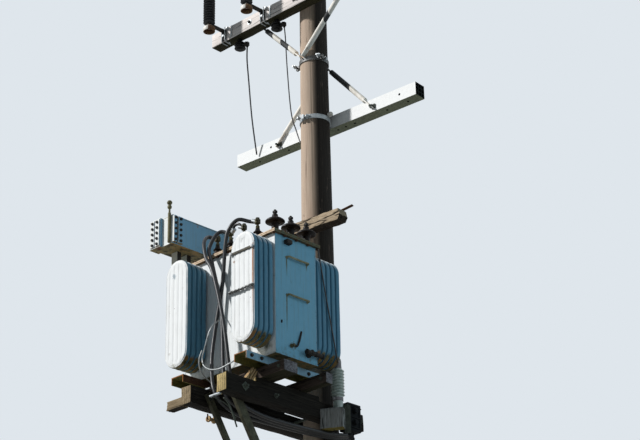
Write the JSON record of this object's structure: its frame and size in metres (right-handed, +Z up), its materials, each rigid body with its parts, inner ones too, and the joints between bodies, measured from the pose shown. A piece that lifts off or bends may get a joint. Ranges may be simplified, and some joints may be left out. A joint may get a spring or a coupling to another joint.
{
  "type": "pole mounted transformer",
  "caption": "Timber utility pole with crossarms, surge arresters and a radiator cooled transformer standing on a braced timber platform, from ground level up.",
  "frame": {"origin": "centre of the pole's foot at ground level", "axes": "+Z up the pole, -Y the side where the transformer stands, +X along the tank"},
  "size_m": [1.7518, 1.3169, 9.3],
  "materials": {
    "pole_wood": "weathered",
    "arm_timber": "weathered",
    "platform_wood": "weathered, dark",
    "grey_wood": "weathered",
    "white_composite": "matte",
    "galvanised": "dull galvanised",
    "dark_steel": "dark, weathered",
    "rusty_steel": "rusty",
    "tank_paint": "satin, chalky",
    "porcelain": "grey",
    "brown_glaze": "gloss",
    "dark_rubber": "matte",
    "cable_black": "matte",
    "fresh_wood": "split, unpainted",
    "bare_wire": "dull",
    "foot_white": "stained"
  },
  "bodies": {
    "root": {"pole": "pole_wood", "upper_crossarm": "arm_timber", "upper_braces": "galvanised", "upper_band": "dark_steel", "arrester_brackets": "dark_steel", "line_arresters": "dark_rubber", "arrester_feet": "foot_white", "bell_insulators": "brown_glaze", "drop_leads": "cable_black", "lower_crossarm": "white_composite", "lower_braces": "galvanised", "lower_band": "galvanised", "top_timber": "grey_wood", "top_strap": "dark_steel", "main_beams": "platform_wood", "beam_packers": "platform_wood", "cross_timbers": "platform_wood", "end_batten": "grey_wood", "front_bars": "galvanised", "knee_braces": "rusty_steel", "knee_band": "rusty_steel", "brace_rods": "galvanised", "platform_bolts": "galvanised", "packing_wedges": "fresh_wood", "packing_block": "grey_wood", "block_strap": "galvanised", "connector_block": "dark_rubber", "porcelain_arrester": "porcelain", "skids": "tank_paint", "tank": "tank_paint", "tank_lid": "tank_paint", "radiator_front_right": "tank_paint", "radiator_front_left": "tank_paint", "radiator_back_right": "tank_paint", "radiator_back_left": "tank_paint", "radiator_straps": "dark_steel", "end_fittings": "dark_steel", "hv_bushings": "brown_glaze", "lv_bushings": "brown_glaze", "lv_cables": "cable_black", "thin_wires": "bare_wire", "end_box": "tank_paint", "box_straps": "tank_paint", "box_pipe": "rusty_steel", "box_brackets": "tank_paint"}
  },
  "joints": []
}
